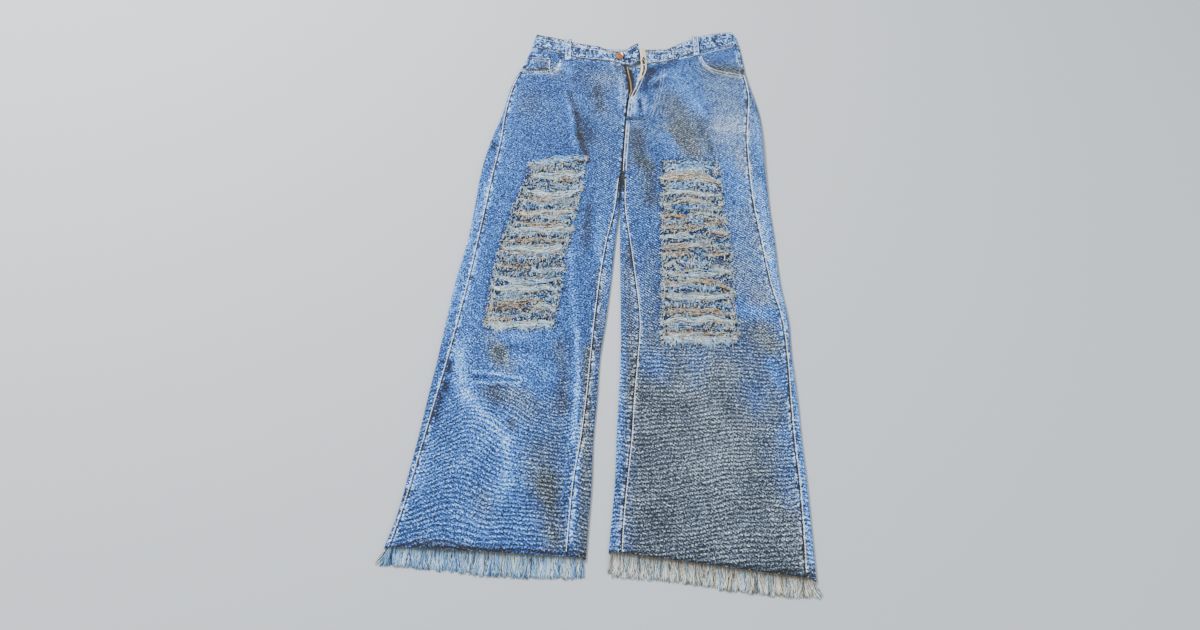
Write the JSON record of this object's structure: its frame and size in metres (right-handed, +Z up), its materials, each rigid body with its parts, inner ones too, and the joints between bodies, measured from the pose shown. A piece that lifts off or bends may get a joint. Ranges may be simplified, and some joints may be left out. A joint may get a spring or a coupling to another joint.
{
  "type": "ripped jeans",
  "caption": "Wide-leg denim jeans laid flat with an open fly, ladders of rips on both thighs and frayed hems.",
  "frame": {"origin": "middle of the garment's outline on the surface that it lies on", "axes": "+Y from the hems to the waist, +Z up from the surface, +X towards the wearer's left leg"},
  "size_m": [0.628, 1.1096, 0.0149],
  "materials": {
    "denim": "washed mid-blue cotton twill",
    "pale_denim": "pale inner face of the denim",
    "yarn": "loose undyed and faded cotton yarn",
    "zip_tape": "woven cotton tape",
    "brass": "antiqued",
    "copper": "satin copper plating"
  },
  "bodies": {
    "root": {"front_right": "denim", "front_left": "denim", "back_right": "denim", "back_left": "denim", "yoke_right": "denim", "yoke_left": "denim", "back_pocket_right": "denim", "back_pocket_left": "denim", "pocket_facing_right": "denim", "pocket_facing_left": "denim", "coin_pocket": "denim", "waistband": "denim", "belt_loop_front_right": "denim", "belt_loop_front_left": "denim", "belt_loop_back_right": "denim", "belt_loop_back_centre": "denim", "belt_loop_back_left": "denim", "fly_shield": "denim", "fly_facing": "pale_denim", "zip_tape_right": "zip_tape", "zip_tape_left": "zip_tape", "zip_slider": "brass", "button": "copper", "hem_fringe_front_right": "yarn", "hem_fringe_front_left": "yarn", "hem_fringe_back_right": "yarn", "hem_fringe_back_left": "yarn", "rip_yarns_right": "yarn", "rip_yarns_left": "yarn"}
  },
  "joints": []
}
